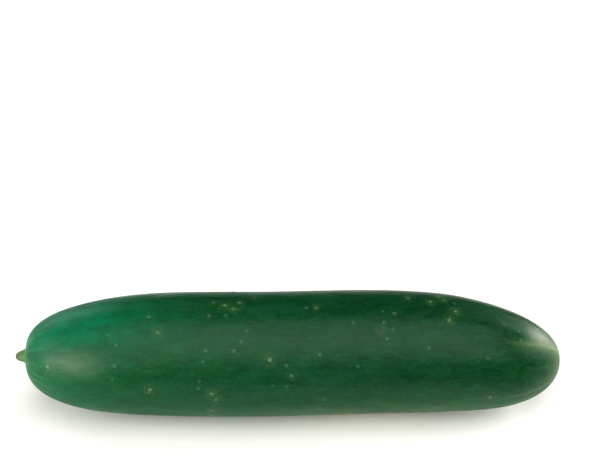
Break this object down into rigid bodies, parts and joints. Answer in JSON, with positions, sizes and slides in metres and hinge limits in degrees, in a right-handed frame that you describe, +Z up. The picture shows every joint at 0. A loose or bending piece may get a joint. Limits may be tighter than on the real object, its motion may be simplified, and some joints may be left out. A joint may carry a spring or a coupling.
{
  "type": "cucumber",
  "caption": "Whole slicing cucumber at rest on its side: long smooth green fruit with a short stem stub and a small blossom scar.",
  "frame": {"origin": "under the middle of the whole, on the surface that the fruit lies on", "axes": "+X along the fruit from the stem end to the blossom end, +Y across it, away from the side that both ends draw towards, +Z up"},
  "size_m": [0.2142, 0.0508, 0.049],
  "materials": {
    "skin": "waxy natural skin with a satin sheen, deep green, with pale dots and with pale streaks at the blossom end",
    "stem": "dry, matt and fibrous, pale green at the foot and olive brown at the broken end"
  },
  "bodies": {
    "root": {"fruit": "skin", "stem_stub": "stem"}
  },
  "joints": []
}
